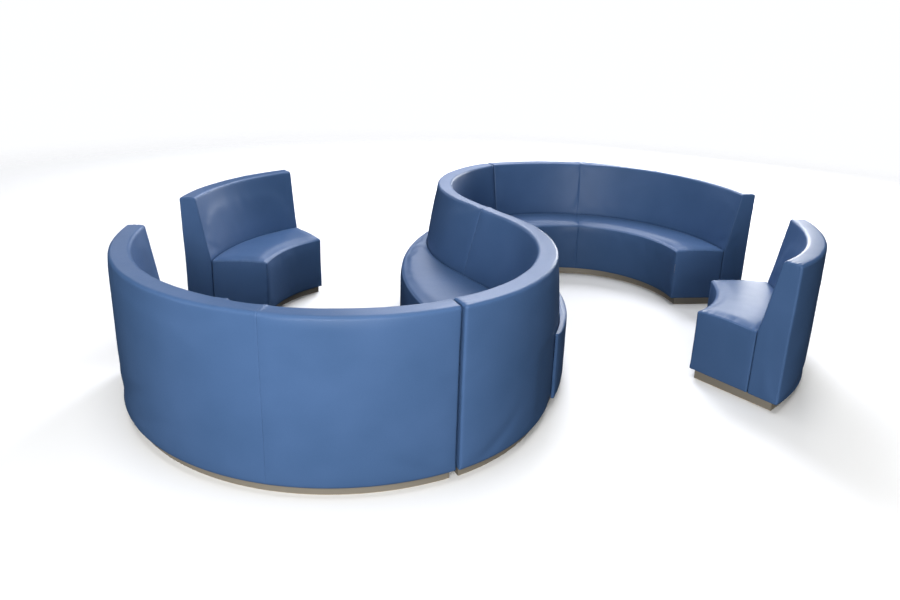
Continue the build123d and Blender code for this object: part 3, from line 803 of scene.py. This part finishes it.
WALL_LENGTH = 4000.0
wall = dict(span=wall_span, length=WALL_LENGTH, ways=(joint_way(1), joint_way(-1)), **BACK_MESH)
wall_seam = (to_world((0.0, WALL_SEAM_PLACE)), (-math.sin(CENTRE_TURN), math.cos(CENTRE_TURN)))
dress("centre", "centre_unit", "back", wall, wall_freedom, [0.5], [wall_seam])
for side, side_name in ((1, "right"), (-1, "left")):
    span, length, tip_way = centre_seat_span(side)
    seat = dict(span=span, length=length, ways=(tip_way, joint_way(side)),
                top=CENTRE_SEAT_EDGE, crown=CENTRE_SEAT_CROWN, **SEAT_MESH)
    dress("centre", "centre_unit", f"{side_name}_seat", seat, seat_freedom)

# The floor is whole under and round the sofa, and fades into the backdrop further out, in metres
FLOOR_FULL, FLOOR_EDGE = 5.0, 10.0
bpy.ops.mesh.primitive_circle_add(vertices=96, radius=FLOOR_EDGE, fill_type="NGON")
floor = bpy.context.object
floor.name = "studio_floor"
pale, tree, shader = new_material("pale_floor", Base_Color=linear("FAFAF9"), Roughness=0.9)
place = add_node(tree, "ShaderNodeTexCoord").outputs["Object"]
reach = add_node(tree, "ShaderNodeVectorMath", {0: place}, operation="LENGTH").outputs["Value"]
fade = add_node(tree, "ShaderNodeMapRange",
                {"Value": reach, "From Min": FLOOR_FULL, "From Max": FLOOR_EDGE,
                 "To Min": 1.0, "To Max": 0.0}, interpolation_type="SMOOTHSTEP")
tree.links.new(fade.outputs[0], shader.inputs["Alpha"])
floor.data.materials.append(pale)
# The floor takes shadows but throws no light up, because the sofa's shades ask for a dark floor
floor.visible_diffuse = floor.visible_glossy = False

# The backdrop is white to look at, and lights the sofa hardly at all
BACKDROP_LIGHT, BACKDROP_SHOWN = 0.02, 1.1
world = bpy.data.worlds.new("studio")
bpy.context.scene.world = world
world.use_nodes = True
backdrop = world.node_tree.nodes["Background"]
backdrop.inputs["Color"].default_value = linear("F4F5F7")
seen = add_node(world.node_tree, "ShaderNodeLightPath").outputs["Is Camera Ray"]
strength = add_node(world.node_tree, "ShaderNodeMapRange",
                    {"Value": seen, "To Min": BACKDROP_LIGHT, "To Max": BACKDROP_SHOWN})
world.node_tree.links.new(strength.outputs[0], backdrop.inputs["Strength"])

# Soft lights: direction in degrees from +X towards +Y, distance, height and size in metres,
# power in watts and colour. The camera stands at 233 degrees.
LIGHTS = {
    "front_window": (240, 8.0, 2.0, 3.0, 330.0, "FFFFFF"),
    "near_window": (222, 5.2, 2.4, 1.6, 115.0, "FFFFFF"),
    "left_fill": (180, 8.0, 2.0, 3.0, 90.0, "FFFFFF"),
    "far_right_window": (25, 8.0, 2.6, 3.2, 430.0, "FFFFFF"),
    "far_right_ceiling": (45, 6.0, 6.0, 3.0, 470.0, "F0F3FF"),
    "far_ceiling": (60, 7.0, 4.0, 3.0, 140.0, "F0F3FF"),
    "far_left_ceiling": (100, 7.0, 4.0, 3.0, 60.0, "F0F3FF"),
}
AIM = Vector((0.0, 0.0, 0.5))
for name, (degrees, distance, height, size, power, colour) in LIGHTS.items():
    lamp = bpy.data.lights.new(name, "AREA")
    lamp.shape, lamp.size, lamp.energy = "SQUARE", size, power
    lamp.color = linear(colour)[:3]
    holder = bpy.data.objects.new(name, lamp)
    bpy.context.scene.collection.objects.link(holder)
    holder.location = (*polar((0.0, 0.0), distance, degrees), height)
    holder.rotation_euler = (AIM - holder.location).to_track_quat("-Z", "Y").to_euler()
overhead = bpy.data.lights.new("overhead", "SUN")
overhead.energy, overhead.angle = 1.35, 0.6
bpy.context.scene.collection.objects.link(bpy.data.objects.new("overhead", overhead))

# Camera: turns in radians, focus and optical row in pixels of the frame, eye in metres
YAW, PITCH, ROLL = 0.60981, 0.29916, -0.02999
IMAGE_WIDTH, IMAGE_HEIGHT = 900, 600
FOCUS_PIXELS, OPTICAL_ROW = 708.2, 242.1
EYE = (-2.817, -3.678, 2.087)
SENSOR_WIDTH = 36.0
forward = Vector((math.sin(YAW) * math.cos(PITCH), math.cos(YAW) * math.cos(PITCH),
                  -math.sin(PITCH)))
level = Vector((math.cos(YAW), -math.sin(YAW), 0.0))
down = forward.cross(level)
right = math.cos(ROLL) * level + math.sin(ROLL) * down
below = -math.sin(ROLL) * level + math.cos(ROLL) * down
turn = Matrix((right, -below, -forward)).transposed().to_4x4()
camera = bpy.data.objects.new("camera", bpy.data.cameras.new("camera"))
bpy.context.scene.collection.objects.link(camera)
camera.matrix_world = Matrix.Translation(EYE) @ turn
camera.data.sensor_width = SENSOR_WIDTH
camera.data.lens = FOCUS_PIXELS * SENSOR_WIDTH / IMAGE_WIDTH
camera.data.shift_y = (OPTICAL_ROW - IMAGE_HEIGHT / 2) / IMAGE_WIDTH
bpy.context.scene.camera = camera
bpy.context.scene.view_settings.view_transform = "Standard"
